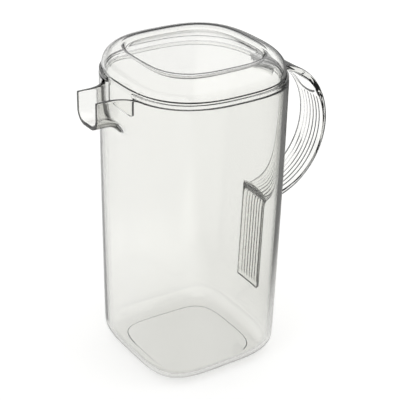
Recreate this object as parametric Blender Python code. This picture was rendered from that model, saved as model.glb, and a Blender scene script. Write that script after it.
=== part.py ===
"""Lidded fridge-door jug in clear plastic, modelled in metres with +Z up.

The jug stands on z = 0, centred on the origin. The spout points along -X and the
handle along +X. Every outline in plan is a rounded square with bulging sides, whose
squareness falls from the foot to the rim. Three pieces are made: the jug body with
its moulded spout, the reeded strap handle, and the lift-off lid.
"""

import math

import bmesh
import bpy
from mathutils import Vector

# Clearances
SEAM_GAP = 0.0003
CUT_OVERRUN = 0.004

# Jug body
RIM_HEIGHT = 0.202
RIM_HALF = 0.0561
FOOT_HALF = 0.0503
RIM_SQUARENESS = 2.7
FOOT_SQUARENESS = 4.0
WALL = 0.0025
FLOOR_THICKNESS = 0.0026
FOOT_RADIUS = 0.014
FLOOR_FILLET = 0.0115

# Spout
SPOUT_REACH = 0.0215
SPOUT_HALF_WIDTH = 0.0128
SPOUT_DEPTH = 0.020
SPOUT_CORNER = 0.009
SPOUT_FLARE = 0.0165
SPOUT_INNER_FLARE = 0.0175
FLARE_MEET_ANGLE = math.radians(76)

# Handle
STRAP_WIDTH = 0.0256
STRAP_THICKNESS = 0.0038
STRAP_EDGE_RADIUS = 0.0006
HANDLE_REACH = 0.0469
HANDLE_RIM_DROP = 0.0007
HANDLE_HEIGHT = 0.1004
HANDLE_LEAD = -0.0016
ROOT_GROWTH = 0.0006
ROOT_ARCH = 0.0018
ROOT_ARCH_REACH = 0.022
STRIP_THICKNESS = 0.003
STRIP_LENGTH = 0.0679
STRIP_FILLET = 0.005
CROTCH_FILLET = 0.003
DISH_DROP = 0.0295
DISH_DEPTH = 0.0013
DISH_MARGIN = 0.002
DISH_ROUND = 0.008
DISH_EDGE = 0.004
REED_COUNT = 7
REED_PITCH = 0.0033
REED_DEPTH = 0.0008
REED_RUN_OUT = 0.004

# Lid
LID_INSET = 0.0002
FLANGE_THICKNESS = 0.0026
FLANGE_STEP = 0.0014
LID_THICKNESS = 0.0015
CREST_HEIGHT = 0.0166
SHOULDER_RADIUS = 0.008
CREST_FLAT = 0.0085
CREST_INNER_RADIUS = 0.0025
WELL_DEPTH = 0.0032
WELL_FILLET = 0.002
WELL_SLOPE = math.radians(65)
WELL_SQUARENESS = 3.2
SKIRT_CLEARANCE = 0.0004
SKIRT_THICKNESS = 0.0016
SKIRT_DEPTH = 0.0016
GUARD_CLEARANCE = 0.0005
GUARD_DEPTH = 0.0125
GUARD_THICKNESS = 0.002
GUARD_PROUD = 0.0002
GUARD_CORNER = 0.0012

# Facets
SIDES = 48
ARC_STEPS = 5
SPOUT_STEPS = 6
LOOP_STEPS = 26
STRIP_STEPS = 6
REED_STEPS = 4


def clear_scene():
    for item in list(bpy.data.objects):
        bpy.data.objects.remove(item, do_unlink=True)


def clear_plastic(name, colour, roughness):
    material = bpy.data.materials.new(name)
    material.use_nodes = True
    shader = material.node_tree.nodes["Principled BSDF"]
    shader.inputs["Base Color"].default_value = (*colour, 1)
    shader.inputs["Roughness"].default_value = roughness
    shader.inputs["Metallic"].default_value = 0
    shader.inputs["Transmission Weight"].default_value = 1
    return material


def add_object(name, mesh_data, material=None):
    mesh = bpy.data.meshes.new(name)
    mesh_data.to_mesh(mesh)
    mesh_data.free()
    thing = bpy.data.objects.new(name, mesh)
    bpy.context.collection.objects.link(thing)
    if material:
        mesh.materials.append(material)
        mesh.shade_smooth()
        mesh.set_sharp_from_angle(angle=math.radians(30))
    return thing


def cut_with(thing, tool, operation):
    """Leaves a live Boolean on the thing, and hides the tool solid that it uses."""
    tool.hide_render = True
    tool.display_type = "WIRE"
    modifier = thing.modifiers.new(tool.name, "BOOLEAN")
    modifier.operation = operation
    modifier.solver = "EXACT"
    modifier.object = tool


def loft(rings):
    """A closed solid through rings of equal count, with a flat cap on the first and the last."""
    mesh_data = bmesh.new()
    loops = [[mesh_data.verts.new(point) for point in ring] for ring in rings]
    for lower, upper in zip(loops, loops[1:]):
        for index in range(len(lower)):
            after = (index + 1) % len(lower)
            mesh_data.faces.new((lower[index], lower[after], upper[after], upper[index]))
    mesh_data.faces.new(list(reversed(loops[0])))
    mesh_data.faces.new(loops[-1])
    bmesh.ops.recalc_face_normals(mesh_data, faces=mesh_data.faces)
    return mesh_data


def block(low, high):
    mesh_data = bmesh.new()
    bmesh.ops.create_cube(mesh_data, size=1)
    size = high - low
    bmesh.ops.scale(mesh_data, vec=size, verts=mesh_data.verts)
    bmesh.ops.translate(mesh_data, vec=(low + high) / 2, verts=mesh_data.verts)
    return mesh_data


def arc(centre, radius, start, end, steps):
    """Points (out, up) on an arc, with angles in degrees from the outward direction."""
    points = []
    for step in range(steps + 1):
        angle = math.radians(start + (end - start) * step / steps)
        points.append((centre[0] + radius * math.cos(angle), centre[1] + radius * math.sin(angle)))
    return points


def rounded_square(half, squareness, height):
    """One ring in plan: |x|^n + |y|^n = half^n."""
    ring = []
    for step in range(SIDES):
        angle = math.tau * step / SIDES
        along, across = math.cos(angle), math.sin(angle)
        reach = half / (abs(along) ** squareness + abs(across) ** squareness) ** (1 / squareness)
        ring.append(Vector((reach * along, reach * across, height)))
    return ring


def share_up(height):
    return height / RIM_HEIGHT


def body_half(height):
    return FOOT_HALF + (RIM_HALF - FOOT_HALF) * share_up(height)


def body_squareness(height):
    return FOOT_SQUARENESS + (RIM_SQUARENESS - FOOT_SQUARENESS) * share_up(height)


def wall_reach(across, height, inset):
    """How far out along X the wall lies, at a place across and up, inset from its outer face."""
    half = body_half(height) - inset
    squareness = body_squareness(height)
    return half * (1 - (abs(across) / half) ** squareness) ** (1 / squareness)


def body_rings(inset, bottom, fillet, top):
    """Rings of the drafted body, inset from its outer face, with a filleted bottom edge."""
    rings = []
    for out, up in arc((0, bottom + fillet), fillet, -90, 0, ARC_STEPS):
        half = body_half(up) - inset - fillet + out
        rings.append(rounded_square(half, body_squareness(up), up))
    rings.append(rounded_square(body_half(top) - inset, body_squareness(top), top))
    return rings


def trough_outline(half_width, depth, corner):
    """The spout's section from one top edge down and up to the other: (across, up, normal)."""
    top = RIM_HEIGHT + CUT_OVERRUN
    corner_across = half_width - corner
    corner_up = RIM_HEIGHT - depth + corner
    points = [(-half_width, top, Vector((-1, 0)))]
    for side, first, last in ((-1, 180, 270), (1, 270, 360)):
        for out, up in arc((0, 0), corner, first, last, ARC_STEPS):
            points.append((side * corner_across + out, corner_up + up, Vector((out, up)) / corner))
    points.append((half_width, top, Vector((1, 0))))
    return points


def trough_rings(half_width, depth, corner, flare, inset, tip):
    """Rings of the spout from its tip to the wall, where each fibre flares out on an arc.

    The arc crosses the wall's face at FLARE_MEET_ANGLE, so that the two surfaces meet softly.
    """
    outline = trough_outline(half_width, depth, corner)
    bend_starts = []
    for across, up, normal in outline:
        face = wall_reach(across + normal.x * flare, min(up, RIM_HEIGHT), inset)
        bend_starts.append(-face - flare * math.sin(FLARE_MEET_ANGLE))
    rings = [[Vector((-tip, across, up)) for across, up, normal in outline]]
    for step in range(SPOUT_STEPS + 1):
        angle = math.radians(90) * step / SPOUT_STEPS
        spread = flare * (1 - math.cos(angle))
        ring = []
        for (across, up, normal), start in zip(outline, bend_starts):
            place = (start + flare * math.sin(angle), across + normal.x * spread, up + normal.y * spread)
            ring.append(Vector(place))
        rings.append(ring)
    plunge = Vector((WALL / 2, 0, 0))
    rings.append([point + plunge for point in rings[-1]])
    return rings


def mouth_half_width(x, height):
    """Half the width of the spout's mouth between its flaring cheeks, at a depth x and a height."""
    straight = SPOUT_HALF_WIDTH - WALL
    flare = SPOUT_INNER_FLARE
    start = -wall_reach(straight + flare, height, WALL) - flare * math.sin(FLARE_MEET_ANGLE)
    run = min(max(x - start, 0), flare)
    return straight + flare - math.sqrt(flare * flare - run * run)


def make_jug_body():
    """The body and spout are one moulding: outer skins joined, then inner skins cut away."""
    top = RIM_HEIGHT + CUT_OVERRUN
    body = add_object("jug_body", loft(body_rings(0, 0, FOOT_RADIUS, top)), JUG_PLASTIC)
    tip = RIM_HALF + SPOUT_REACH
    outer = trough_rings(SPOUT_HALF_WIDTH, SPOUT_DEPTH, SPOUT_CORNER, SPOUT_FLARE, 0, tip)
    inner = trough_rings(
        SPOUT_HALF_WIDTH - WALL,
        SPOUT_DEPTH - WALL,
        SPOUT_CORNER - WALL,
        SPOUT_INNER_FLARE,
        WALL,
        tip + CUT_OVERRUN,
    )
    cavity = body_rings(WALL, FLOOR_THICKNESS, FLOOR_FILLET, top + CUT_OVERRUN)
    beyond = tip + CUT_OVERRUN
    above_rim = block(Vector((-beyond, -beyond, RIM_HEIGHT)), Vector((beyond, beyond, top + CUT_OVERRUN)))
    cut_with(body, add_object("spout_skin_tool", loft(outer)), "UNION")
    cut_with(body, add_object("jug_cavity_tool", loft(cavity)), "DIFFERENCE")
    cut_with(body, add_object("spout_channel_tool", loft(inner)), "DIFFERENCE")
    cut_with(body, add_object("above_rim_tool", above_rim), "DIFFERENCE")
    return body


def loop_point(angle, outside):
    """A point outside the handle's half ellipse by a given distance, with the ellipse's normal there."""
    reach = HANDLE_REACH - HANDLE_LEAD
    rise = HANDLE_HEIGHT / 2
    along, up = math.cos(angle), math.sin(angle)
    normal = Vector((along / reach, up / rise)).normalized()
    centre = Vector((RIM_HALF + HANDLE_LEAD, RIM_HEIGHT - HANDLE_RIM_DROP - rise))
    return centre + Vector((reach * along, rise * up)) + normal * outside, normal


def angle_at(x, outside, side):
    """Where the line outside the half ellipse reaches an x, above it for a side of 1 and below for -1."""
    near, far = 0, math.pi / 2
    for _ in range(40):
        middle = (near + far) / 2
        if loop_point(side * middle, outside)[0].x > x:
            near = middle
        else:
            far = middle
    return side * near


def handle_side_view():
    """The handle's outline seen from -Y, as (x, z, normal, skin) from the rim round to the rim.

    The skin says what the point belongs to: "outer", "inner", "wall" or "end". The loop is a
    half ellipse, and fillets that touch it and the wall's face join the two.
    """
    root_z = RIM_HEIGHT - HANDLE_RIM_DROP - HANDLE_HEIGHT
    foot_z = root_z - STRIP_LENGTH
    root_face = body_half(root_z) + SEAM_GAP
    rim_face = body_half(RIM_HEIGHT) + SEAM_GAP
    points = []

    def add(place, normal, skin):
        points.append((place.x, place.y, normal.normalized(), skin))

    first = angle_at(rim_face, 0, 1)
    last = angle_at(root_face + STRIP_THICKNESS + STRIP_FILLET, STRIP_FILLET, -1)
    for step in range(LOOP_STEPS + 1):
        place, normal = loop_point(first + (last - first) * step / LOOP_STEPS, 0)
        add(place, normal, "outer" if step else "wall")

    centre, normal = loop_point(last, STRIP_FILLET)
    turn = math.degrees(math.atan2(-normal.y, -normal.x))
    for x, z in arc(centre, STRIP_FILLET, turn, 180, ARC_STEPS)[1:]:
        add(Vector((x, z)), centre - Vector((x, z)), "outer")
    for step in range(1, STRIP_STEPS + 1):
        z = centre.y + (foot_z + STRIP_THICKNESS / 2 - centre.y) * step / STRIP_STEPS
        add(Vector((body_half(z) + SEAM_GAP + STRIP_THICKNESS, z)), Vector((1, 0)), "outer")
    toe_x = body_half(foot_z) + SEAM_GAP
    add(Vector((toe_x + STRIP_THICKNESS / 2, foot_z)), Vector((0, -1)), "end")
    add(Vector((toe_x, foot_z)), Vector((0, -1)), "wall")

    depth = STRAP_THICKNESS + ROOT_GROWTH
    lower = angle_at(root_face + CROTCH_FILLET, -depth - CROTCH_FILLET, -1)
    centre, normal = loop_point(lower, -depth - CROTCH_FILLET)
    for step in range(1, STRIP_STEPS + 1):
        z = foot_z + (centre.y - foot_z) * step / STRIP_STEPS
        add(Vector((body_half(z) + SEAM_GAP, z)), Vector((-1, 0)), "wall")
    turn = math.degrees(math.atan2(normal.y, normal.x)) % 360
    for x, z in arc(centre, CROTCH_FILLET, 180, turn, ARC_STEPS)[1:-1]:
        add(Vector((x, z)), centre - Vector((x, z)), "inner")
    upper = angle_at(rim_face + CROTCH_FILLET, -depth - CROTCH_FILLET, 1)
    for step in range(LOOP_STEPS + 1):
        angle = lower + (upper - lower) * step / LOOP_STEPS
        place, normal = loop_point(angle, -STRAP_THICKNESS - ROOT_GROWTH * math.sin(angle) ** 2)
        add(place, -normal, "inner")
    centre, normal = loop_point(upper, -depth - CROTCH_FILLET)
    turn = math.degrees(math.atan2(normal.y, normal.x))
    for x, z in arc(centre, CROTCH_FILLET, turn, 180, ARC_STEPS)[1:-1]:
        add(Vector((x, z)), centre - Vector((x, z)), "inner")
    add(Vector((rim_face, centre.y)), Vector((-1, 0)), "wall")
    return points


def smooth_step(value):
    value = min(max(value, 0), 1)
    return value * value * (3 - 2 * value)


def reed_height(across):
    """Depth of the reeding below the strap's face: round reeds with a valley on each side."""
    if abs(across) > REED_COUNT * REED_PITCH / 2:
        return 0
    return REED_DEPTH * (1 - abs(math.cos(math.pi * across / REED_PITCH)))


def dish_depth(across, drop):
    """Depth of the thumb's dish, at a place across the strap and below the top of the loop."""
    side = min(abs(across) / (STRAP_WIDTH / 2 - DISH_MARGIN), 1)
    end = DISH_DROP - DISH_ROUND * (1 - math.sqrt(1 - side * side))
    return DISH_DEPTH * (1 - side ** 4) * smooth_step(drop / end) * smooth_step((end - drop) / DISH_EDGE)


def strap_sections():
    """Places across the strap, each with how far its side view is drawn in at the edges."""
    half = STRAP_WIDTH / 2
    reeded = REED_COUNT * REED_PITCH / 2
    places = [(-half, STRAP_EDGE_RADIUS), (STRAP_EDGE_RADIUS - half, 0)]
    count = REED_COUNT * REED_STEPS
    for step in range(count + 1):
        places.append((reeded * (2 * step / count - 1), 0))
    places += [(half - STRAP_EDGE_RADIUS, 0), (half, STRAP_EDGE_RADIUS)]
    return places


def make_handle():
    """The strap's side view carried across its width, dished and reeded outside, crowned at its root."""
    side_view = handle_side_view()
    loop_top = RIM_HEIGHT - HANDLE_RIM_DROP
    root_z = loop_top - HANDLE_HEIGHT
    foot_z = root_z - STRIP_LENGTH
    root = Vector((body_half(root_z), root_z + STRAP_THICKNESS))
    rings = []
    for across, draw_in in strap_sections():
        crown = 1 - (2 * across / STRAP_WIDTH) ** 2
        ring = []
        for x, z, normal, skin in side_view:
            inward = draw_in if skin in ("outer", "inner", "end") else 0
            if skin == "outer":
                reeded = smooth_step((loop_top - z - DISH_DROP) / REED_RUN_OUT)
                reeded *= smooth_step((z - foot_z - STRIP_THICKNESS) / REED_RUN_OUT)
                inward += reed_height(across) * reeded + dish_depth(across, loop_top - z)
            lift = 0
            if skin in ("inner", "wall"):
                nearness = 1 - min(1, (Vector((x, z)) - root).length / ROOT_ARCH_REACH) ** 2
                upper_side = smooth_step((z - root_z) / STRAP_THICKNESS)
                lift = ROOT_ARCH * crown * nearness * nearness * upper_side
            height = z - normal.y * inward + lift
            face = wall_reach(across, height, 0) + SEAM_GAP
            out = face if skin == "wall" else max(x - normal.x * inward, face)
            ring.append(Vector((out, across, height)))
        rings.append(ring)
    handle = add_object("handle", loft(rings), HANDLE_PLASTIC)
    return handle


def lid_profile():
    """The lid's section from its well's centre over the crest, round the skirt and back under.

    Each point is (out, up) from the axis and the rim.
    """
    flange_half = RIM_HALF - LID_INSET
    wall_half = flange_half - FLANGE_STEP
    shoulder = (wall_half - SHOULDER_RADIUS, CREST_HEIGHT - SHOULDER_RADIUS)
    inner = (shoulder[0] - CREST_FLAT, CREST_HEIGHT - CREST_INNER_RADIUS)
    floor_up = CREST_HEIGHT - WELL_DEPTH
    slope = math.degrees(WELL_SLOPE)
    sine, cosine = math.sin(WELL_SLOPE), math.cos(WELL_SLOPE)
    slope_drop = inner[1] + CREST_INNER_RADIUS * cosine - (floor_up + WELL_FILLET * (1 - cosine))
    fillet_out = inner[0] - (CREST_INNER_RADIUS + WELL_FILLET) * sine - slope_drop * cosine / sine
    fillet = (fillet_out, floor_up + WELL_FILLET)
    skirt_half = RIM_HALF - WALL - SKIRT_CLEARANCE
    flange_top = SEAM_GAP + FLANGE_THICKNESS

    top = arc(fillet, WELL_FILLET, -90, slope - 90, ARC_STEPS - 1)
    top += arc(inner, CREST_INNER_RADIUS, 90 + slope, 90, ARC_STEPS)
    top += arc(shoulder, SHOULDER_RADIUS, 90, 0, ARC_STEPS + 1)
    edge = [
        (wall_half, flange_top),
        (flange_half, flange_top),
        (flange_half, SEAM_GAP),
        (skirt_half, SEAM_GAP),
        (skirt_half, -SKIRT_DEPTH),
        (skirt_half - SKIRT_THICKNESS, -SKIRT_DEPTH),
        (skirt_half - SKIRT_THICKNESS, flange_top),
        (wall_half - LID_THICKNESS, flange_top + SKIRT_THICKNESS),
    ]
    under = arc(shoulder, SHOULDER_RADIUS - LID_THICKNESS, 0, 90, ARC_STEPS)
    under += arc(inner, CREST_INNER_RADIUS - LID_THICKNESS, 90, 90 + slope, ARC_STEPS - 1)
    under += arc(fillet, WELL_FILLET + LID_THICKNESS, slope - 90, -90, ARC_STEPS)
    return top + edge + under


def make_lid():
    """The lid is lofted about the jug's axis. Its flange stops at the spout, where a guard drops in."""
    profile = lid_profile()
    widest = RIM_HALF - LID_INSET
    well_half = profile[0][0]
    skirt_inner = RIM_HALF - WALL - SKIRT_CLEARANCE - SKIRT_THICKNESS
    rings = []
    for out, up in profile:
        nearness = (out - well_half) / (skirt_inner - well_half)
        squareness = WELL_SQUARENESS + (RIM_SQUARENESS - WELL_SQUARENESS) * smooth_step(nearness)
        rings.append(rounded_square(out, squareness, up))
    lid = add_object("lid", loft(rings), LID_PLASTIC)
    lid.location.z = RIM_HEIGHT

    outer_x = -(widest - FLANGE_STEP + GUARD_PROUD)
    guard_top = SEAM_GAP + FLANGE_THICKNESS / 2
    flange_top = SEAM_GAP + FLANGE_THICKNESS
    half = mouth_half_width(outer_x, RIM_HEIGHT - GUARD_DEPTH) - GUARD_CLEARANCE
    notch_half = half + GUARD_CLEARANCE
    notch = block(
        Vector((-(widest + CUT_OVERRUN), -notch_half, -SKIRT_DEPTH / 2)),
        Vector((outer_x, notch_half, flange_top + CUT_OVERRUN)),
    )
    notch_tool = add_object("flange_notch_tool", notch)
    notch_tool.location.z = RIM_HEIGHT
    cut_with(lid, notch_tool, "DIFFERENCE")
    corner_up = GUARD_CORNER - GUARD_DEPTH
    face = [(-half, guard_top)]
    face += arc((GUARD_CORNER - half, corner_up), GUARD_CORNER, 180, 270, ARC_STEPS)
    face += arc((half - GUARD_CORNER, corner_up), GUARD_CORNER, 270, 360, ARC_STEPS)
    face += [(half, guard_top)]
    rings = []
    for x in (outer_x, outer_x + GUARD_THICKNESS):
        rings.append([Vector((x, across, up)) for across, up in face])
    guard = add_object("spout_guard_tool", loft(rings))
    guard.location.z = RIM_HEIGHT
    cut_with(lid, guard, "UNION")
    return lid


clear_scene()
JUG_PLASTIC = clear_plastic("jug_clear_plastic", (0.93, 0.93, 0.91), 0.03)
HANDLE_PLASTIC = clear_plastic("handle_clear_plastic", (0.92, 0.92, 0.90), 0.05)
LID_PLASTIC = clear_plastic("lid_clear_plastic", (0.95, 0.96, 0.94), 0.03)
make_jug_body()
make_handle()
make_lid()
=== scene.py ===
"""A lidded fridge-door jug in clear plastic: its finished pieces, its studio and its camera.

Lengths are in metres. The jug stands on z = 0 with its spout along -X and its handle along +X.
The jug is drawn out ring by ring, the handle is drawn out across its width, and the lid is spun
about its axis and then squared in plan.
"""
import math
from collections import namedtuple

import bmesh
import bpy
from mathutils import Matrix, Vector


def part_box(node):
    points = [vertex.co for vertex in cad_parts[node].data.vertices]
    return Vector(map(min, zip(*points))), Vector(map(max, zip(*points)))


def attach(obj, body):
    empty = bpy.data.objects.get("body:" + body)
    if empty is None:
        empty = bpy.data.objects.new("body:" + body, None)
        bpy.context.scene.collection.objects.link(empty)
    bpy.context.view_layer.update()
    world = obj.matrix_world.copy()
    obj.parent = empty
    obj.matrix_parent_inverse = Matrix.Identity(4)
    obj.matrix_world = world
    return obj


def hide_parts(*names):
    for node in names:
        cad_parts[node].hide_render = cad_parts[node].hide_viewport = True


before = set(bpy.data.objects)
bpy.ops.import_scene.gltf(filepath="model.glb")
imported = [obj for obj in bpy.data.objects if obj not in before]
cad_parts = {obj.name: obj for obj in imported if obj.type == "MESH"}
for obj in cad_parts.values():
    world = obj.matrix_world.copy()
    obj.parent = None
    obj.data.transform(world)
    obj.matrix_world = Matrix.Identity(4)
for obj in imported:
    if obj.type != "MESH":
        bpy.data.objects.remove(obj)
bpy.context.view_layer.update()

# The frame's sizes
JUG_LOW, JUG_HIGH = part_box("jug_body")
HANDLE_LOW, HANDLE_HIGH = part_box("handle")
LID_LOW, LID_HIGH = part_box("lid")
RIM_HEIGHT = JUG_HIGH.z
RIM_HALF = JUG_HIGH.y
SPOUT_TIP = -JUG_LOW.x

# Fits between the pieces
SEAM_GAP = 0.0003
LID_INSET = 0.0002
SKIRT_CLEARANCE = 0.0004

# Sizes of the jug body
FOOT_HALF = 0.0503
RIM_SQUARENESS = 2.7
FOOT_SQUARENESS = 4.0
WALL = 0.0025
FLOOR_THICKNESS = 0.0026
FOOT_RADIUS = 0.014
FLOOR_FILLET = 0.0115
FOOT_LAND = 0.0007
FOOT_PUSH_UP = 0.0007
RIM_ROUNDING = 0.0006
RIM_CREASE = math.radians(57)
RIM_SEGMENTS = 3
COLUMNS = 160
FOOT_STEPS = 12
LOWER_ROWS = 16

# Sizes of the spout, and of the panel of wall that it flares out of
SPOUT_HALF_WIDTH = 0.0128
SPOUT_DEPTH = 0.020
SPOUT_CORNER = 0.009
CHEEK_FLARE = 0.0165
THROAT_FLARE = 0.0125
PANEL_HEIGHT = 0.050
PANEL_ROWS = 16
PANEL_ROW_POWER = 1.2
PANEL_COLUMNS = 16
FIRST_PANEL_COLUMN = COLUMNS // 2 - PANEL_COLUMNS
LAST_PANEL_COLUMN = COLUMNS // 2 + PANEL_COLUMNS
CHEEK_STEPS = 7
CORNER_STEPS = 22
PANEL_STEPS = 5
FLARE_STEPS = 10
TROUGH_STEPS = 6
SLOPE_STEP = 0.0003
SLOPE_ROUNDS = 12

# Sizes of the handle
STRAP_THICKNESS = 0.0038
STRAP_EDGE_RADIUS = 0.0010
HANDLE_RIM_DROP = 0.0007
HANDLE_HEIGHT = 0.1004
HANDLE_LEAD = -0.0016
ROOT_GROWTH = 0.0006
ROOT_ARCH = 0.0018
ROOT_ARCH_REACH = 0.022
STRIP_THICKNESS = 0.003
STRIP_FILLET = 0.005
CROTCH_FILLET = 0.003
DISH_DROP = 0.0295
DISH_DEPTH = 0.0013
DISH_MARGIN = 0.002
DISH_ROUND = 0.008
DISH_EDGE = 0.0025
DISH_SIDE_POWER = 4
REED_COUNT = 7
REED_PITCH = 0.0033
REED_DEPTH = 0.0005
REED_RUN_OUT = 0.003
LOOP_STEPS = 180
STRIP_STEPS = 30
FILLET_STEPS = 10
REED_STEPS = 10
EDGE_STEPS = 4
HALVINGS = 40

# Sizes of the lid
FLANGE_THICKNESS = 0.0026
FLANGE_STEP = 0.0014
LID_HALF = RIM_HALF - LID_INSET
LID_WALL_HALF = LID_HALF - FLANGE_STEP
LID_THICKNESS = 0.0015
CREST_RISE = 0.0015
CREST_HALF = 0.0418
CREST_INNER_RADIUS = 0.0025
WELL_DEPTH = 0.0032
WELL_FILLET = 0.002
WELL_SLOPE = math.radians(65)
WELL_SQUARENESS = 3.2
WELL_LAND_SHARE = 0.25
SKIRT_THICKNESS = 0.0016
SKIRT_DEPTH = 0.0016
SKIRT_HALF = RIM_HALF - WALL - SKIRT_CLEARANCE
SKIRT_INNER_HALF = SKIRT_HALF - SKIRT_THICKNESS
GUARD_THICKNESS = 0.002
GUARD_CORNER = 0.0012
GUARD_EDGE = math.radians(15.25)
FLANGE_END = math.radians(15.6)
EDGE_ROUNDING = 0.0003
WELD_DISTANCE = 0.000006
WELL_STEPS = 8
CREST_STEPS = 12
CREST_UNDER_STEPS = 8
SHOULDER_STEPS = 16
SHOULDER_UNDER_STEPS = 12
STEP_CORNER_STEPS = 3
FLANGE_EDGE_STEPS = 4
GUARD_COLUMNS = 6
GUARD_STEPS = 4

# Shading angles past which an edge is drawn crisp
CRISP_FROM = math.radians(40)
HANDLE_CRISP_FROM = math.radians(50)

# Plastic
PLASTIC_IOR = 1.57
# Painted shade on the plastic seen edge-on runs between these facings
EDGE_ON_FROM = 0.66
EDGE_ON_TO = 0.95
POLISH = 0.0
WAVE_HEIGHT = 0.00001
FLOW_SCALE = 38
FLOW_DETAIL = 3
FLOW_STRETCH = 0.25
HAZE_SCALE = 240
HAZE_DETAIL = 4
DEPTH_TINT = (0.55, 0.55, 0.50)
SHADOW_TINT = (1, 1, 0.995)

# Studio
STUDIO_AZIMUTH = math.radians(-34)
PAPER_DARK = (0.80, 0.80, 0.79)
PAPER_LIGHT = (0.84, 0.84, 0.83)
PAPER_GRAIN = 900
PAPER_TOP_UP = 0.40
FLOOR_REACH = 30
FLOOR_DROP = 0.0003
# Painted shade on the paper's right, seen only in reflections, standing in for a black flag
REFLECTED_SHADE_FROM = 0.06
REFLECTED_SHADE_TO = 0.17
REFLECTED_SHADE_DARKNESS = 0.78
HORIZON_DARK = 0.24
HORIZON_WHITE = 0.30
AMBIENT = 0.55
LAMP_DISTANCE = 2

# Camera
CAMERA_AZIMUTH = math.radians(-34.19)
CAMERA_ELEVATION = math.radians(27.34)
CAMERA_DISTANCE = 0.8109
CAMERA_LENS = 108.43
CAMERA_SENSOR = 36
CAMERA_AIM_HEIGHT = 0.1115
CAMERA_AIM_RIGHT = 0.00628
CAMERA_ROLL = math.radians(1.50)


# Shaping

def smooth_step(value):
    """A soft rise from 0 to 1, level before and after."""
    value = min(max(value, 0), 1)
    return value * value * (3 - 2 * value)


def blend(first, second, share):
    """What lies between two values, a share of the way from the first."""
    return first + (second - first) * share


def arc(centre, radius, start, end, steps):
    """Points on an arc, with angles in degrees from the outward direction."""
    points = []
    for step in range(steps + 1):
        angle = math.radians(blend(start, end, step / steps))
        points.append((centre[0] + radius * math.cos(angle), centre[1] + radius * math.sin(angle)))
    return points


def bearing(direction):
    """The angle of a flat direction, in the degrees that arc takes."""
    return math.degrees(math.atan2(direction.y, direction.x))


def squared(angle, half, squareness, height):
    """The point of a rounded square |x|^n + |y|^n = half^n that lies in a direction."""
    along, across = math.cos(angle), math.sin(angle)
    reach = half / (abs(along) ** squareness + abs(across) ** squareness) ** (1 / squareness)
    return Vector((reach * along, reach * across, height))


def lies_along(edge, places):
    """Whether both ends of an edge are among the places, which are plain tuples."""
    return all(tuple(vert.co) in places for vert in edge.verts)


def edges_among(mesh, points):
    """The edges whose two ends both lie on the points given."""
    places = {tuple(point) for point in points}
    return [edge for edge in mesh.edges if lies_along(edge, places)]


def drawn_out(mesh, edges, line, next_line):
    """Extrudes edges from one line of points to the next. It returns the edges along the new line."""
    moves = {tuple(point): next_point for point, next_point in zip(line, next_line)}
    grown = bmesh.ops.extrude_edge_only(mesh, edges=edges)["geom"]
    for part in grown:
        if isinstance(part, bmesh.types.BMVert):
            part.co = moves[tuple(part.co)]
    places = {tuple(point) for point in next_line}
    new_edges = [part for part in grown if isinstance(part, bmesh.types.BMEdge)]
    return [edge for edge in new_edges if edge.is_boundary and lies_along(edge, places)]


def finished(name, mesh, crisp_from=CRISP_FROM):
    """The object of a finished mesh, with its faces pointing outwards and its curves shaded soft."""
    bmesh.ops.recalc_face_normals(mesh, faces=mesh.faces)
    data = bpy.data.meshes.new(name)
    mesh.to_mesh(data)
    mesh.free()
    piece = bpy.data.objects.new(name, data)
    bpy.context.scene.collection.objects.link(piece)
    data.shade_smooth()
    data.set_sharp_from_angle(angle=crisp_from)
    return piece


# Jug body

def body_half(height):
    """Half the jug's width across its flat sides, which grows from the foot to the rim."""
    return blend(FOOT_HALF, RIM_HALF, height / RIM_HEIGHT)


def body_squareness(height):
    """How square the jug is in plan, which eases off from the foot to the rim."""
    return blend(FOOT_SQUARENESS, RIM_SQUARENESS, height / RIM_HEIGHT)


def wall_reach(across, height, inset):
    """How far the wall stands from the jug's middle plane, at a place across it and at a height."""
    half = body_half(height) - inset
    squareness = body_squareness(height)
    return half * (1 - (abs(across) / half) ** squareness) ** (1 / squareness)


def wall_ring(height, inset):
    """One point of the wall for each column, all the way round at a height."""
    half = body_half(height) - inset
    squareness = body_squareness(height)
    return [squared(math.tau * column / COLUMNS, half, squareness, height) for column in range(COLUMNS)]


def lower_rings(inset, bottom, fillet):
    """The rings from the foot, round its fillet and up to where the spout's panel starts."""
    wall_foot = bottom + fillet
    rings = []
    for out, up in arc((0, wall_foot), fillet, -90, 0, FOOT_STEPS):
        rings.append(wall_ring(up, inset + fillet - out))
    for row in range(1, LOWER_ROWS + 1):
        height = blend(wall_foot, RIM_HEIGHT - PANEL_HEIGHT, row / LOWER_ROWS)
        rings.append(wall_ring(height, inset))
    return rings


def panel_rings(inset):
    """The rings beside the spout's panel, closer together towards the rim."""
    rings = []
    for row in range(PANEL_ROWS - 1, -1, -1):
        height = RIM_HEIGHT - PANEL_HEIGHT * (row / PANEL_ROWS) ** PANEL_ROW_POWER
        rings.append(wall_ring(height, inset))
    return rings


def draw_floor(mesh, ring, push_up):
    """The floor inside the first ring: a narrow land, and a middle that may be pushed up.

    It returns the ring's edges, from which the wall is drawn up.
    """
    circle = bmesh.ops.create_circle(mesh, segments=COLUMNS, radius=1)["verts"]
    for vert in circle:
        column = round(math.atan2(vert.co.y, vert.co.x) * COLUMNS / math.tau) % COLUMNS
        vert.co = ring[column]
    floor = bmesh.ops.contextual_create(mesh, geom=edges_among(mesh, ring))["faces"]
    for rise in (0, push_up):
        bmesh.ops.inset_region(
            mesh, faces=floor, thickness=FOOT_LAND, use_even_offset=True, use_boundary=True,
        )
        bmesh.ops.translate(mesh, vec=(0, 0, rise), verts=floor[0].verts)
    return edges_among(mesh, ring)


Fibre = namedtuple("Fibre", "across up normal flare spread centre lie")


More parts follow.
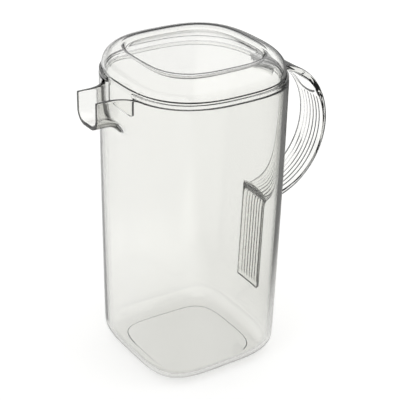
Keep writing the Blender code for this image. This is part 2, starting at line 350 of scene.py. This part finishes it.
def spout_outline(half_width, depth, corner):
    """The trough's section from one top edge to the other, as (across, up, normal)."""
    corner_up = RIM_HEIGHT - depth + corner
    corner_across = half_width - corner
    outline = []
    for step in range(CHEEK_STEPS):
        up = blend(RIM_HEIGHT, corner_up, step / CHEEK_STEPS)
        outline.append((half_width, up, Vector((1, 0))))
    for out, up in arc((0, 0), 1, 0, -90, CORNER_STEPS):
        outline.append((corner_across + corner * out, corner_up + corner * up, Vector((out, up))))
    bottom_steps = PANEL_ROWS + PANEL_COLUMNS - CHEEK_STEPS - CORNER_STEPS
    for step in range(1, bottom_steps + 1):
        across = corner_across * (1 - step / bottom_steps)
        outline.append((across, corner_up - corner, Vector((0, -1))))
    mirrored = [(-across, up, Vector((-normal.x, normal.y))) for across, up, normal in outline[-2::-1]]
    return outline + mirrored


def spout_fibre(across, up, normal, inset):
    """A line of the spout from its lip to the wall, and how it flares out to lie down on the wall.

    The flare has a radius, a spread over the wall, a centre along X, and the angle that it turns
    through until it lies on the wall. The wall's slope where it lands settles in a few rounds.
    """
    flare = blend(CHEEK_FLARE, THROAT_FLARE, normal.y ** 2) + inset

    def wall_at(spread):
        return wall_reach(across + normal.x * spread, up + normal.y * spread, inset)

    spread = flare
    for _ in range(SLOPE_ROUNDS):
        slope = (wall_at(spread - SLOPE_STEP) - wall_at(spread + SLOPE_STEP)) / (2 * SLOPE_STEP)
        spread = flare * (1 - slope / math.hypot(1, slope))
    centre = -wall_at(spread) - flare / math.hypot(1, slope)
    return Fibre(across, up, normal, flare, spread, centre, math.atan2(1, slope))


def spout_lines(border, inset):
    """Lines of points from the panel's border, over the wall and round the flare, out to the lip."""
    outline = spout_outline(SPOUT_HALF_WIDTH - inset, SPOUT_DEPTH - inset, SPOUT_CORNER - inset)
    fibres = [spout_fibre(across, up, normal, inset) for across, up, normal in outline]
    lines = []
    for step in range(1, PANEL_STEPS + 1):
        line = []
        for start, fibre in zip(border, fibres):
            y = blend(start.y, fibre.across + fibre.normal.x * fibre.spread, step / PANEL_STEPS)
            z = blend(start.z, fibre.up + fibre.normal.y * fibre.spread, step / PANEL_STEPS)
            line.append(Vector((-wall_reach(y, z, inset), y, z)))
        lines.append(line)
    for step in range(1, FLARE_STEPS + 1):
        line = []
        for fibre in fibres:
            angle = fibre.lie * (1 - step / FLARE_STEPS)
            out = fibre.flare * (1 - math.cos(angle))
            x = fibre.centre + fibre.flare * math.sin(angle)
            y = fibre.across + fibre.normal.x * out
            line.append(Vector((x, y, fibre.up + fibre.normal.y * out)))
        lines.append(line)
    for step in range(1, TROUGH_STEPS + 1):
        line = []
        for fibre in fibres:
            x = blend(fibre.centre, -SPOUT_TIP, step / TROUGH_STEPS)
            line.append(Vector((x, fibre.across, fibre.up)))
        lines.append(line)
    return lines


def make_skin(mesh, inset, bottom, fillet, push_up):
    """One skin of the jug, from its floor up the wall to the rim and out along the spout.

    It returns the skin's rim: every point round the mouth and the spout's lip.
    """
    rings = lower_rings(inset, bottom, fillet)
    edges = draw_floor(mesh, rings[0], push_up)
    for lower, upper in zip(rings, rings[1:]):
        edges = drawn_out(mesh, edges, lower, upper)

    rows = [rings[-1]] + panel_rings(inset)
    edges = edges_among(mesh, rows[0][:FIRST_PANEL_COLUMN + 1] + rows[0][LAST_PANEL_COLUMN:])
    for lower, upper in zip(rows, rows[1:]):
        edges = drawn_out(mesh, edges, lower, upper)
    rim = rows[-1][:FIRST_PANEL_COLUMN + 1] + rows[-1][LAST_PANEL_COLUMN:]

    border = [row[FIRST_PANEL_COLUMN] for row in rows[:0:-1]]
    border += rows[0][FIRST_PANEL_COLUMN:LAST_PANEL_COLUMN + 1]
    border += [row[LAST_PANEL_COLUMN] for row in rows[1:]]
    edges = [edge for edge in edges_among(mesh, border) if edge.is_boundary]
    line = border
    for next_line in spout_lines(border, inset):
        edges = drawn_out(mesh, edges, line, next_line)
        rim += [next_line[0], next_line[-1]]
        line = next_line
    return rim + line


def make_jug_body():
    """Two skins, joined round the mouth and the spout's lip, with the edges of the join rounded."""
    mesh = bmesh.new()
    outer = make_skin(mesh, 0, 0, FOOT_RADIUS, FOOT_PUSH_UP)
    inner = make_skin(mesh, WALL, FLOOR_THICKNESS, FLOOR_FILLET, 0)
    open_edges = [edge for edge in mesh.edges if edge.is_boundary]
    bmesh.ops.bridge_loops(mesh, edges=open_edges)
    bmesh.ops.recalc_face_normals(mesh, faces=mesh.faces)
    lip = edges_among(mesh, outer + inner)
    creased = [edge for edge in lip if edge.calc_face_angle(0) > RIM_CREASE]
    bmesh.ops.bevel(
        mesh, geom=creased, offset=RIM_ROUNDING, offset_type="OFFSET", segments=RIM_SEGMENTS,
        profile=0.5, affect="EDGES", material=-1, clamp_overlap=True,
    )
    return finished("jug_shell", mesh)


# Handle

def loop_point(angle, outside):
    """A point outside the handle's half ellipse by a given distance, with the ellipse's normal there."""
    reach = HANDLE_HIGH.x - RIM_HALF - HANDLE_LEAD
    rise = HANDLE_HEIGHT / 2
    along, up = math.cos(angle), math.sin(angle)
    normal = Vector((along / reach, up / rise)).normalized()
    centre = Vector((RIM_HALF + HANDLE_LEAD, RIM_HEIGHT - HANDLE_RIM_DROP - rise))
    return centre + Vector((reach * along, rise * up)) + normal * outside, normal


def angle_at(x, outside, side):
    """Where the line outside the half ellipse reaches an x, above it for a side of 1 and below for -1."""
    near, far = 0, math.pi / 2
    for _ in range(HALVINGS):
        middle = (near + far) / 2
        if loop_point(side * middle, outside)[0].x > x:
            near = middle
        else:
            far = middle
    return side * near


def handle_side_view():
    """The handle's outline seen from -Y: (x, z, normal, skin), from the rim round to the rim."""
    foot_z = HANDLE_LOW.z
    root_z = RIM_HEIGHT - HANDLE_RIM_DROP - HANDLE_HEIGHT
    root_face = body_half(root_z) + SEAM_GAP
    rim_face = RIM_HALF + SEAM_GAP
    points = []

    def add(place, normal, skin):
        points.append((place[0], place[1], normal.normalized(), skin))

    def add_fillet(centre, radius, start, end, skin):
        for x, z in arc(centre, radius, start, end, FILLET_STEPS)[1:]:
            add((x, z), centre - Vector((x, z)), skin)

    loop_start = angle_at(rim_face, 0, 1)
    loop_end = angle_at(root_face + STRIP_THICKNESS + STRIP_FILLET, STRIP_FILLET, -1)
    for step in range(LOOP_STEPS + 1):
        place, normal = loop_point(blend(loop_start, loop_end, step / LOOP_STEPS), 0)
        add(place, normal, "outer" if step else "wall")
    centre, normal = loop_point(loop_end, STRIP_FILLET)
    add_fillet(centre, STRIP_FILLET, bearing(-normal), 180, "outer")
    toe_z = foot_z + STRIP_THICKNESS / 2
    for step in range(1, STRIP_STEPS + 1):
        z = blend(centre.y, toe_z, step / STRIP_STEPS)
        add((body_half(z) + SEAM_GAP + STRIP_THICKNESS, z), Vector((1, 0)), "outer")
    toe = Vector((body_half(foot_z) + SEAM_GAP + STRIP_THICKNESS / 2, toe_z))
    for x, z in arc(toe, STRIP_THICKNESS / 2, 0, -90, FILLET_STEPS // 2)[1:]:
        add((x, z), Vector((x, z)) - toe, "end")
    add((toe.x - STRIP_THICKNESS / 2, foot_z), Vector((0, -1)), "wall")

    fillet_line = -STRAP_THICKNESS - ROOT_GROWTH - CROTCH_FILLET
    lower = angle_at(root_face + CROTCH_FILLET, fillet_line, -1)
    centre, normal = loop_point(lower, fillet_line)
    for step in range(1, STRIP_STEPS + 1):
        z = blend(foot_z, centre.y, step / STRIP_STEPS)
        add((body_half(z) + SEAM_GAP, z), Vector((-1, 0)), "wall")
    add_fillet(centre, CROTCH_FILLET, 180, bearing(normal) % 360, "inner")
    upper = angle_at(rim_face + CROTCH_FILLET, fillet_line, 1)
    for step in range(1, LOOP_STEPS + 1):
        angle = blend(lower, upper, step / LOOP_STEPS)
        place, normal = loop_point(angle, -STRAP_THICKNESS - ROOT_GROWTH * math.sin(angle) ** 2)
        add(place, -normal, "inner")
    centre, normal = loop_point(upper, fillet_line)
    add_fillet(centre, CROTCH_FILLET, bearing(normal), 180, "inner")
    return points


def reed_cut(across):
    """How deep the reeding is cut at a place across the strap: round reeds between sharp valleys."""
    if abs(across) > REED_COUNT * REED_PITCH / 2:
        return 0
    return REED_DEPTH * (1 - abs(math.cos(math.pi * across / REED_PITCH)))


def dish_depth(across, drop):
    """Depth of the thumb's dish, at a place across the strap and below the top of the loop."""
    side = min(abs(across) / (HANDLE_HIGH.y - DISH_MARGIN), 1)
    end = DISH_DROP - DISH_ROUND * (1 - math.sqrt(1 - side * side))
    hollow = smooth_step(drop / end) * smooth_step((end - drop) / DISH_EDGE)
    return DISH_DEPTH * (1 - side ** DISH_SIDE_POWER) * hollow


def strap_sections():
    """Places across the strap, each with how far its outline is drawn in on the rounded edges."""
    half = HANDLE_HIGH.y
    turned = arc((0, 0), STRAP_EDGE_RADIUS, 0, 90, EDGE_STEPS)
    edge = [(half - STRAP_EDGE_RADIUS + out, STRAP_EDGE_RADIUS - up) for out, up in turned]
    reeded = REED_COUNT * REED_PITCH / 2
    count = REED_COUNT * REED_STEPS
    middle = [(reeded * (1 - 2 * step / count), 0) for step in range(count + 1)]
    return edge + middle + [(-across, draw_in) for across, draw_in in reversed(edge)]


def handle_ring(side_view, across, draw_in):
    """The side view at one place across the strap, with its reeds, dish and crowned root cut in."""
    loop_top = RIM_HEIGHT - HANDLE_RIM_DROP
    root_z = loop_top - HANDLE_HEIGHT
    root = Vector((body_half(root_z), root_z + STRAP_THICKNESS))
    crown = 1 - (across / HANDLE_HIGH.y) ** 2
    ring = []
    for x, z, normal, skin in side_view:
        inward = draw_in if skin != "wall" else 0
        if skin == "outer":
            reeded = smooth_step((loop_top - z - DISH_DROP) / REED_RUN_OUT)
            reeded *= smooth_step((z - HANDLE_LOW.z - STRIP_THICKNESS) / REED_RUN_OUT)
            inward += reed_cut(across) * reeded + dish_depth(across, loop_top - z)
        lift = 0
        if skin in ("inner", "wall"):
            nearness = 1 - min(1, (Vector((x, z)) - root).length / ROOT_ARCH_REACH) ** 2
            upper_side = smooth_step((z - root_z) / STRAP_THICKNESS)
            lift = ROOT_ARCH * crown * nearness * nearness * upper_side
        height = z - normal.y * inward + lift
        face = wall_reach(across, height, 0) + SEAM_GAP
        out = face if skin == "wall" else max(x - normal.x * inward, face)
        ring.append(Vector((out, across, height)))
    return ring


def make_handle():
    """The handle's side view, drawn out across the strap from one edge to the other."""
    side_view = handle_side_view()
    rings = [handle_ring(side_view, across, draw_in) for across, draw_in in strap_sections()]
    mesh = bmesh.new()
    circle = bmesh.ops.create_circle(mesh, segments=len(side_view), radius=1)["verts"]
    for vert, point in zip(circle, rings[0]):
        vert.co = point
    edges = list(mesh.edges)
    bmesh.ops.contextual_create(mesh, geom=edges)
    for ring, next_ring in zip(rings, rings[1:]):
        edges = drawn_out(mesh, edges, ring, next_ring)
    bmesh.ops.contextual_create(mesh, geom=edges)
    return finished("strap_handle", mesh, HANDLE_CRISP_FROM)


# Lid

def lid_profile():
    """The lid's section from its well, over the crest, round the skirt and back under: (out, up)."""
    crest = LID_HIGH.z - RIM_HEIGHT + CREST_RISE
    shoulder_radius = LID_WALL_HALF - CREST_HALF
    shoulder = (CREST_HALF, crest - shoulder_radius)
    inner = (CREST_HALF, crest - CREST_INNER_RADIUS)
    floor_up = crest - WELL_DEPTH
    slope = math.degrees(WELL_SLOPE)
    sine, cosine = math.sin(WELL_SLOPE), math.cos(WELL_SLOPE)
    drop = inner[1] + CREST_INNER_RADIUS * cosine - (floor_up + WELL_FILLET * (1 - cosine))
    fillet_out = inner[0] - (CREST_INNER_RADIUS + WELL_FILLET) * sine - drop * cosine / sine
    fillet = (fillet_out, floor_up + WELL_FILLET)
    floor_out = fillet_out - WELL_FILLET * WELL_LAND_SHARE
    flange_top = SEAM_GAP + FLANGE_THICKNESS
    round_by = EDGE_ROUNDING

    top = [(floor_out, floor_up)]
    top += arc(fillet, WELL_FILLET, -90, slope - 90, WELL_STEPS)
    top += arc(inner, CREST_INNER_RADIUS, 90 + slope, 90, CREST_STEPS)
    top += arc(shoulder, shoulder_radius, 90, 0, SHOULDER_STEPS)

    step_corner = (LID_WALL_HALF + round_by, flange_top + round_by)
    edge = arc(step_corner, round_by, 180, 270, STEP_CORNER_STEPS)
    edge += arc((LID_HALF - round_by, flange_top - round_by), round_by, 90, 0, FLANGE_EDGE_STEPS)
    edge += arc((LID_HALF - round_by, SEAM_GAP + round_by), round_by, 0, -90, FLANGE_EDGE_STEPS)
    edge += [(SKIRT_HALF, SEAM_GAP), (SKIRT_HALF, -SKIRT_DEPTH), (SKIRT_INNER_HALF, -SKIRT_DEPTH)]
    edge += [(SKIRT_INNER_HALF, flange_top)]
    edge += [(LID_WALL_HALF - LID_THICKNESS, flange_top + SKIRT_THICKNESS)]

    under = arc(shoulder, shoulder_radius - LID_THICKNESS, 0, 90, SHOULDER_UNDER_STEPS)
    under += arc(inner, CREST_INNER_RADIUS - LID_THICKNESS, 90, 90 + slope, CREST_UNDER_STEPS)
    under += arc(fillet, WELL_FILLET + LID_THICKNESS, slope - 90, -90, WELL_STEPS)
    under += [(floor_out, floor_up - LID_THICKNESS)]
    return top + edge + under


def lid_turn(column):
    """A column's angle from the spout. Two columns close up where the flange stops beside the guard."""
    if abs(column) <= GUARD_COLUMNS:
        return GUARD_EDGE * column / GUARD_COLUMNS
    if abs(column) == GUARD_COLUMNS + 1:
        return math.copysign(FLANGE_END, column)
    return math.tau * column / COLUMNS


def lid_place(spun, well_half):
    """Where a point of the spun lid belongs: squared in plan, and without its flange at the spout."""
    out = math.hypot(spun.x, spun.y)
    up = spun.z
    nearness = smooth_step((out - well_half) / (SKIRT_INNER_HALF - well_half))
    squareness = blend(WELL_SQUARENESS, RIM_SQUARENESS, nearness)
    column = round(math.atan2(spun.y, -spun.x) * COLUMNS / math.tau)
    if abs(column) <= GUARD_COLUMNS:
        beyond_skirt = out > SKIRT_INNER_HALF + WELD_DISTANCE and up <= SEAM_GAP + WELD_DISTANCE
        if out > LID_WALL_HALF or beyond_skirt:
            out = LID_WALL_HALF
        elif up <= -SKIRT_DEPTH + WELD_DISTANCE:
            out = LID_WALL_HALF - GUARD_THICKNESS
    return squared(math.pi - lid_turn(column), out, squareness, up + RIM_HEIGHT)


def hang_guard(mesh):
    """Draws the skirt's front down into a plate with small round lower corners."""
    skirt_foot = RIM_HEIGHT - SKIRT_DEPTH
    front = []
    for face in mesh.faces:
        if all(abs(vert.co.z - skirt_foot) < WELD_DISTANCE for vert in face.verts):
            turns = [abs(math.atan2(vert.co.y, -vert.co.x)) for vert in face.verts]
            if max(turns) < GUARD_EDGE + WELD_DISTANCE:
                front.append(face)
    width = max(abs(vert.co.y) for face in front for vert in face.verts)
    corner = (width - GUARD_CORNER, LID_LOW.z + GUARD_CORNER)
    for next_width, height in arc(corner, GUARD_CORNER, 0, -90, GUARD_STEPS):
        border = list(dict.fromkeys(edge for face in front for edge in face.edges))
        grown = bmesh.ops.extrude_face_region(mesh, geom=front + border)["geom"]
        front = [part for part in grown if isinstance(part, bmesh.types.BMFace)]
        for vert in dict.fromkeys(vert for face in front for vert in face.verts):
            vert.co.z = height
            vert.co.y *= next_width / width
        width = next_width


def make_lid():
    """The lid is spun about its axis and squared in plan, and its guard is drawn down at the spout."""
    profile = lid_profile()
    mesh = bmesh.new()
    line = [mesh.verts.new((out, 0, up)) for out, up in profile]
    geom = line + [mesh.edges.new(pair) for pair in zip(line, line[1:])]
    bmesh.ops.spin(
        mesh, geom=geom, cent=(0, 0, 0), axis=(0, 0, 1), angle=math.tau, steps=COLUMNS, use_merge=True,
    )
    bmesh.ops.remove_doubles(mesh, verts=mesh.verts, dist=WELD_DISTANCE)
    well_half = profile[0][0]
    for vert in mesh.verts:
        vert.co = lid_place(vert.co, well_half)
    bmesh.ops.remove_doubles(mesh, verts=mesh.verts, dist=WELD_DISTANCE)
    open_edges = [edge for edge in mesh.edges if edge.is_boundary]
    bmesh.ops.edgeloop_fill(mesh, edges=open_edges)
    hang_guard(mesh)
    return finished("lid_moulding", mesh)


# Materials

def worked_out(tree, operation, first, second=0, clamp=False):
    """The result of a Math node on two sockets or numbers."""
    node = tree.nodes.new("ShaderNodeMath")
    node.operation = operation
    node.use_clamp = clamp
    for socket, value in zip(node.inputs, (first, second)):
        if isinstance(value, bpy.types.NodeSocket):
            tree.links.new(value, socket)
        else:
            socket.default_value = value
    return node.outputs["Value"]


def faded(tree, value, start, end):
    """A soft step from 0 at the start to 1 at the end."""
    node = tree.nodes.new("ShaderNodeMapRange")
    node.interpolation_type = "SMOOTHSTEP"
    node.inputs["From Min"].default_value = start
    node.inputs["From Max"].default_value = end
    tree.links.new(value, node.inputs["Value"])
    return node.outputs["Result"]


def mixed_number(tree, share, first, second):
    """A number that goes from the first, a socket, to the second, a plain one."""
    node = tree.nodes.new("ShaderNodeMix")
    node.data_type = "FLOAT"
    node.inputs["B"].default_value = second
    tree.links.new(share, node.inputs["Factor"])
    tree.links.new(first, node.inputs["A"])
    return node.outputs["Result"]


def moulded_surface_group():
    """Faint flow marks and handling haze in a moulded surface: colour, roughness and height."""
    group = bpy.data.node_groups.new("moulded_surface", "ShaderNodeTree")
    for name, kind in (("Clear", "NodeSocketColor"), ("Streaked", "NodeSocketColor"),
                       ("Polish", "NodeSocketFloat"), ("Haze", "NodeSocketFloat")):
        group.interface.new_socket(name, in_out="INPUT", socket_type=kind)
    for name, kind in (("Colour", "NodeSocketColor"), ("Roughness", "NodeSocketFloat"),
                       ("Height", "NodeSocketFloat")):
        group.interface.new_socket(name, in_out="OUTPUT", socket_type=kind)
    nodes, links = group.nodes, group.links
    given = nodes.new("NodeGroupInput")
    result = nodes.new("NodeGroupOutput")
    place = nodes.new("ShaderNodeTexCoord")
    stretch = nodes.new("ShaderNodeMapping")
    stretch.inputs["Scale"].default_value = (1, 1, FLOW_STRETCH)
    links.new(place.outputs["Object"], stretch.inputs["Vector"])
    flow = nodes.new("ShaderNodeTexNoise")
    flow.inputs["Scale"].default_value = FLOW_SCALE
    flow.inputs["Detail"].default_value = FLOW_DETAIL
    links.new(stretch.outputs["Vector"], flow.inputs["Vector"])
    haze = nodes.new("ShaderNodeTexNoise")
    haze.inputs["Scale"].default_value = HAZE_SCALE
    haze.inputs["Detail"].default_value = HAZE_DETAIL
    links.new(place.outputs["Object"], haze.inputs["Vector"])
    tint = nodes.new("ShaderNodeMix")
    tint.data_type = "RGBA"
    links.new(flow.outputs["Fac"], tint.inputs["Factor"])
    links.new(given.outputs["Clear"], tint.inputs["A"])
    links.new(given.outputs["Streaked"], tint.inputs["B"])
    links.new(tint.outputs["Result"], result.inputs["Colour"])
    rough = nodes.new("ShaderNodeMix")
    rough.data_type = "FLOAT"
    links.new(haze.outputs["Fac"], rough.inputs["Factor"])
    links.new(given.outputs["Polish"], rough.inputs["A"])
    links.new(given.outputs["Haze"], rough.inputs["B"])
    links.new(rough.outputs["Result"], result.inputs["Roughness"])
    links.new(flow.outputs["Fac"], result.inputs["Height"])
    return group


def clear_plastic(name, clear, streaked, painted_edge_shade, haze, density):
    """Clear plastic with painted shade where it is seen edge-on, and darker where it is thick.

    It has faint flow marks and a thin haze of use on it. Its own shadow is almost clear.
    """
    material = bpy.data.materials.new(name)
    material.use_nodes = True
    nodes, links = material.node_tree.nodes, material.node_tree.links
    shader = nodes["Principled BSDF"]
    shader.inputs["Metallic"].default_value = 0
    shader.inputs["Transmission Weight"].default_value = 1
    shader.inputs["IOR"].default_value = PLASTIC_IOR
    surface = nodes.new("ShaderNodeGroup")
    surface.node_tree = MOULDED_SURFACE
    surface.inputs["Clear"].default_value = (*clear, 1)
    surface.inputs["Streaked"].default_value = (*streaked, 1)
    surface.inputs["Polish"].default_value = POLISH
    surface.inputs["Haze"].default_value = haze
    # Painted shade: the base colour turns to the edge-on colour where the surface is seen edge-on, for
    # the dark that the plastic's edges bend in
    facing = nodes.new("ShaderNodeLayerWeight")
    edge = faded(material.node_tree, facing.outputs["Facing"], EDGE_ON_FROM, EDGE_ON_TO)
    colour = nodes.new("ShaderNodeMix")
    colour.data_type = "RGBA"
    colour.inputs["B"].default_value = (*painted_edge_shade, 1)
    links.new(edge, colour.inputs["Factor"])
    links.new(surface.outputs["Colour"], colour.inputs["A"])
    links.new(colour.outputs["Result"], shader.inputs["Base Color"])
    links.new(surface.outputs["Roughness"], shader.inputs["Roughness"])
    bump = nodes.new("ShaderNodeBump")
    bump.inputs["Distance"].default_value = WAVE_HEIGHT
    links.new(surface.outputs["Height"], bump.inputs["Height"])
    links.new(bump.outputs["Normal"], shader.inputs["Normal"])

    shade = nodes.new("ShaderNodeBsdfTransparent")
    shade.inputs["Color"].default_value = (*SHADOW_TINT, 1)
    path = nodes.new("ShaderNodeLightPath")
    mix = nodes.new("ShaderNodeMixShader")
    links.new(path.outputs["Is Shadow Ray"], mix.inputs["Fac"])
    links.new(shader.outputs["BSDF"], mix.inputs[1])
    links.new(shade.outputs["BSDF"], mix.inputs[2])
    output = nodes["Material Output"]
    links.new(mix.outputs["Shader"], output.inputs["Surface"])
    depth = nodes.new("ShaderNodeVolumeAbsorption")
    depth.inputs["Color"].default_value = (*DEPTH_TINT, 1)
    depth.inputs["Density"].default_value = density
    links.new(depth.outputs["Volume"], output.inputs["Volume"])
    return material


def jug_plastic():
    """The body's plastic has the most tint, and a light painted shade where it is seen edge-on."""
    return clear_plastic(
        "jug_plastic", clear=(0.972, 0.972, 0.957), streaked=(0.946, 0.946, 0.93),
        painted_edge_shade=(0.6, 0.6, 0.59), haze=0.03, density=28,
    )


def handle_plastic():
    """The handle's plastic is the clearest, with the most haze from hands, and the faintest painted shade
    where it is seen edge-on.
    """
    return clear_plastic(
        "handle_plastic", clear=(0.99, 0.99, 0.98), streaked=(0.98, 0.98, 0.965),
        painted_edge_shade=(0.85, 0.85, 0.84), haze=0.05, density=12,
    )


def lid_plastic():
    """The lid's plastic has an almost black painted shade where it is seen edge-on."""
    return clear_plastic(
        "lid_plastic", clear=(0.978, 0.978, 0.968), streaked=(0.958, 0.958, 0.943),
        painted_edge_shade=(0.05, 0.05, 0.05), haze=0.03, density=6,
    )


def to_the_right(tree, coordinates):
    """How far a place lies to the right of the studio's line from front to back."""
    node = tree.nodes.new("ShaderNodeVectorMath")
    node.operation = "DOT_PRODUCT"
    node.inputs[1].default_value = (math.cos(STUDIO_AZIMUTH), math.sin(STUDIO_AZIMUTH), 0)
    tree.links.new(coordinates, node.inputs[0])
    return node.outputs["Value"]


def floor_material():
    """Pale paper: lit as paper is, and topped up to white where the camera or a clear part sees it.

    Seen in reflections it has painted shade on the right, where a black flag would darken it, and painted
    shade for light that was thrown back more than once inside the plastic. That painted shade draws the
    plastic's edges.
    """
    material = bpy.data.materials.new("studio_paper")
    material.use_nodes = True
    tree = material.node_tree
    nodes, links = tree.nodes, tree.links
    paper = nodes["Principled BSDF"]
    paper.inputs["Roughness"].default_value = 1
    paper.inputs["Specular IOR Level"].default_value = 0
    place = nodes.new("ShaderNodeTexCoord")
    grain = nodes.new("ShaderNodeTexNoise")
    grain.inputs["Scale"].default_value = PAPER_GRAIN
    links.new(place.outputs["Object"], grain.inputs["Vector"])
    tone = nodes.new("ShaderNodeMix")
    tone.data_type = "RGBA"
    tone.inputs["A"].default_value = (*PAPER_DARK, 1)
    tone.inputs["B"].default_value = (*PAPER_LIGHT, 1)
    links.new(grain.outputs["Fac"], tone.inputs["Factor"])
    links.new(tone.outputs["Result"], paper.inputs["Base Color"])
    glow = nodes.new("ShaderNodeEmission")
    path = nodes.new("ShaderNodeLightPath")
    seen = path.outputs["Is Camera Ray"]
    for ray in ("Is Glossy Ray", "Is Transmission Ray"):
        seen = worked_out(tree, "ADD", seen, path.outputs[ray], clamp=True)
    links.new(worked_out(tree, "MULTIPLY", seen, PAPER_TOP_UP), glow.inputs["Strength"])
    both = nodes.new("ShaderNodeAddShader")
    links.new(paper.outputs["BSDF"], both.inputs[0])
    links.new(glow.outputs["Emission"], both.inputs[1])
    # Painted shade: seen in reflections, the paper darkens towards the right and wherever light was
    # thrown back more than once
    right_side_shade = faded(tree, to_the_right(tree, place.outputs["Object"]), REFLECTED_SHADE_FROM, REFLECTED_SHADE_TO)
    right_side_shade = worked_out(tree, "MULTIPLY", right_side_shade, REFLECTED_SHADE_DARKNESS)
    thrown_back = worked_out(tree, "SUBTRACT", path.outputs["Glossy Depth"], 1)
    dark = worked_out(tree, "MAXIMUM", right_side_shade, thrown_back, clamp=True)
    mirrored = worked_out(tree, "MINIMUM", path.outputs["Glossy Depth"], 1)
    dimmed = nodes.new("ShaderNodeMixShader")
    links.new(worked_out(tree, "MULTIPLY", dark, mirrored), dimmed.inputs["Fac"])
    links.new(both.outputs["Shader"], dimmed.inputs[1])
    links.new(dimmed.outputs["Shader"], nodes["Material Output"].inputs["Surface"])
    return material


# Studio

def make_floor():
    """A sheet of pale paper that reaches far past the jug, just under its foot."""
    mesh = bmesh.new()
    bmesh.ops.create_grid(mesh, x_segments=2, y_segments=2, size=FLOOR_REACH)
    bmesh.ops.translate(mesh, vec=(0, 0, -FLOOR_DROP), verts=mesh.verts)
    floor = finished("studio_floor", mesh)
    floor.data.materials.append(floor_material())


def make_world():
    """White all round, but dark to light that was thrown back more than once inside the plastic.

    Light thrown back once inside it finds the studio dark near the horizon, which draws the lid's
    ridge. Light that paper or plastic scattered finds it at a lower, plain level.
    """
    world = bpy.data.worlds.new("studio")
    bpy.context.scene.world = world
    world.use_nodes = True
    tree = world.node_tree
    nodes, links = tree.nodes, tree.links
    light = nodes["Background"]
    light.inputs["Color"].default_value = (1, 1, 1, 1)
    path = nodes.new("ShaderNodeLightPath")
    place = nodes.new("ShaderNodeTexCoord")
    split = nodes.new("ShaderNodeSeparateXYZ")
    links.new(place.outputs["Generated"], split.inputs["Vector"])
    horizon = faded(tree, split.outputs["Z"], HORIZON_WHITE, HORIZON_DARK)
    inside = worked_out(tree, "MINIMUM", path.outputs["Transmission Depth"], horizon)
    thrown_back = worked_out(tree, "SUBTRACT", path.outputs["Glossy Depth"], 1)
    thrown_back = worked_out(tree, "ADD", thrown_back, inside, clamp=True)
    white = worked_out(tree, "SUBTRACT", 1, thrown_back)
    scattered = worked_out(
        tree, "ADD", path.outputs["Is Diffuse Ray"], path.outputs["Diffuse Depth"], clamp=True,
    )
    found = mixed_number(tree, scattered, white, AMBIENT)
    seen = mixed_number(tree, path.outputs["Is Camera Ray"], found, 1)
    links.new(seen, light.inputs["Strength"])


def make_sun(name, energy, azimuth, elevation, angle):
    """A soft lamp that shows in no reflection and through no clear part."""
    data = bpy.data.lights.new(name, "SUN")
    data.energy = energy
    data.angle = angle
    lamp = bpy.data.objects.new(name, data)
    lamp.visible_glossy = False
    lamp.visible_transmission = False
    bpy.context.scene.collection.objects.link(lamp)
    turn = Matrix.Rotation(azimuth, 4, "Z") @ Matrix.Rotation(math.pi / 2 - elevation, 4, "X")
    lamp.matrix_world = turn @ Matrix.Translation((0, 0, LAMP_DISTANCE))


def make_lamps():
    """A soft key light from the left, and a weaker fill from the right."""
    make_sun("key_light", energy=0.7, azimuth=math.radians(-70), elevation=math.radians(55),
             angle=math.radians(25))
    make_sun("fill_light", energy=0.35, azimuth=math.radians(60), elevation=math.radians(60),
             angle=math.radians(40))


def make_camera():
    """The camera looks from the front left and above, rolled a little as the photograph is."""
    back = Vector((
        math.sin(CAMERA_AZIMUTH) * math.cos(CAMERA_ELEVATION),
        -math.cos(CAMERA_AZIMUTH) * math.cos(CAMERA_ELEVATION),
        math.sin(CAMERA_ELEVATION),
    ))
    right = Vector((math.cos(CAMERA_AZIMUTH), math.sin(CAMERA_AZIMUTH), 0))
    up = back.cross(right)
    aim = Vector((0, 0, CAMERA_AIM_HEIGHT)) + right * CAMERA_AIM_RIGHT
    turned_right = right * math.cos(CAMERA_ROLL) + up * math.sin(CAMERA_ROLL)
    turned_up = up * math.cos(CAMERA_ROLL) - right * math.sin(CAMERA_ROLL)
    data = bpy.data.cameras.new("camera")
    data.lens = CAMERA_LENS
    data.sensor_width = CAMERA_SENSOR
    camera = bpy.data.objects.new("camera", data)
    bpy.context.scene.collection.objects.link(camera)
    turn = Matrix((turned_right, turned_up, back)).transposed().to_4x4()
    camera.matrix_world = Matrix.Translation(aim + back * CAMERA_DISTANCE) @ turn
    bpy.context.scene.camera = camera


bpy.context.scene.view_settings.view_transform = "Standard"
MOULDED_SURFACE = moulded_surface_group()
PIECES = (
    (make_jug_body, "jug_body", "jug", "jug_clear_plastic", jug_plastic()),
    (make_handle, "handle", "jug", "handle_clear_plastic", handle_plastic()),
    (make_lid, "lid", "lid", "lid_clear_plastic", lid_plastic()),
)
for make, node, body, slot, material in PIECES:
    piece = make()
    piece.data.materials.append(material)
    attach(piece, body)
    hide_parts(node)

make_floor()
make_world()
make_lamps()
make_camera()
